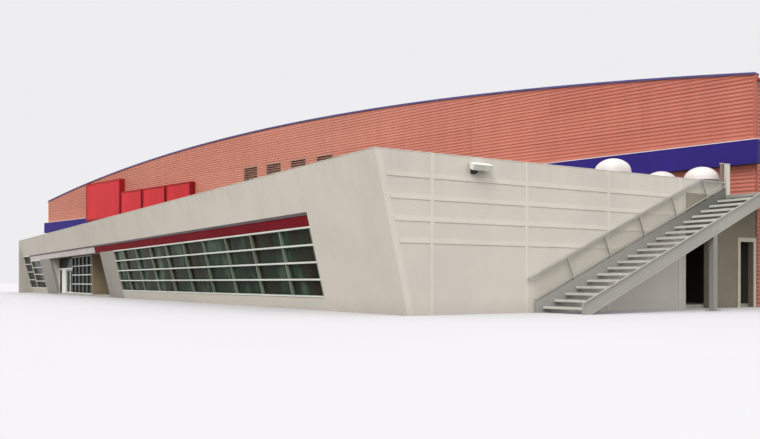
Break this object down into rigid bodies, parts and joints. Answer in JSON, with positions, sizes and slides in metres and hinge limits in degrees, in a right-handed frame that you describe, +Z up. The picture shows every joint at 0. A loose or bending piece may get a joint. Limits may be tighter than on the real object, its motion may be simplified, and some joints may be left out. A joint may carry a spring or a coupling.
{
  "type": "supermarket building, 1:2 scale model",
  "caption": "Clad hall with arched gables behind a low plastered shop front that leans outwards, with glazing, sliding entrance doors and an outside steel stair.",
  "frame": {"origin": "centre of the building's outline at ground level", "axes": "+Z up, +X to the right along the hall's front gable, +Y to the back of the hall"},
  "size_m": [38.6026, 33.9434, 6.34],
  "materials": {
    "cladding": "ribbed sheet, matt",
    "roof_sheet": "standing seam sheet",
    "concrete": "screeded concrete",
    "blue_metal": "satin",
    "white_metal": "powder coated",
    "louvre_metal": "matt",
    "sign_red": "satin acrylic",
    "plaster": "painted plaster",
    "fascia_red": "satin",
    "fascia_pale": "satin",
    "glazing": "tinted glass",
    "galvanised": "galvanised",
    "guard_mesh": "expanded mesh",
    "lamp_housing": "satin",
    "dome_white": "opal acrylic"
  },
  "bodies": {
    "building": {"blue_band": "blue_metal", "dome_kerbs": "concrete", "door_rail": "galvanised", "entrance_glass": "glazing", "entrance_head": "white_metal", "entrance_panels": "white_metal", "entrance_screen": "white_metal", "entrance_soffit": "plaster", "far_bay_frames": "white_metal", "far_bay_glass": "glazing", "front_floor": "concrete", "front_lintel": "plaster", "front_piers": "plaster", "front_roof": "concrete", "front_sills": "plaster", "front_upper_wall": "plaster", "gable_copings": "blue_metal", "gable_corner_trim": "white_metal", "gable_louvres": "louvre_metal", "hall_floor": "concrete", "hall_front_base": "cladding", "hall_front_gable": "cladding", "hall_left_wall": "cladding", "hall_rear_wall": "cladding", "hall_right_wall": "cladding", "hall_roof": "roof_sheet", "left_end_wall": "plaster", "pale_fascia": "fascia_pale", "porch_back_wall": "plaster", "porch_left_wall": "plaster", "porch_right_wall": "plaster", "red_fascia": "fascia_red", "roof_access_posts": "plaster", "roof_domes": "dome_white", "service_door_frame": "white_metal", "shopfront_frame": "white_metal", "shopfront_glass": "glazing", "side_parapet": "plaster", "side_wall": "plaster", "side_wall_grid": "plaster", "side_wall_over_doors": "plaster", "side_wall_piers": "plaster", "sign_board": "sign_red", "stair_columns": "galvanised", "stair_guard": "galvanised", "stair_guard_mesh": "guard_mesh", "stair_landing": "galvanised", "stair_stringers": "galvanised", "stair_treads": "galvanised", "wall_lamp": "lamp_housing"},
    "left_leaf": {"door_leaf_left": "white_metal", "door_glass_left": "glazing"},
    "right_leaf": {"door_leaf_right": "white_metal", "door_glass_right": "glazing"}
  },
  "joints": [
    {"name": "left_leaf_slide", "type": "slide", "parent": "building", "child": "left_leaf", "axis": [-0.9736, 0.2283, 0], "range_m": [0, 0.55]},
    {"name": "right_leaf_slide", "type": "slide", "parent": "building", "child": "right_leaf", "axis": [0.9736, -0.2283, 0], "range_m": [0, 0.55]}
  ],
  "couplings": [
    {"joint": "right_leaf_slide", "follows": "left_leaf_slide", "ratio": 1}
  ]
}
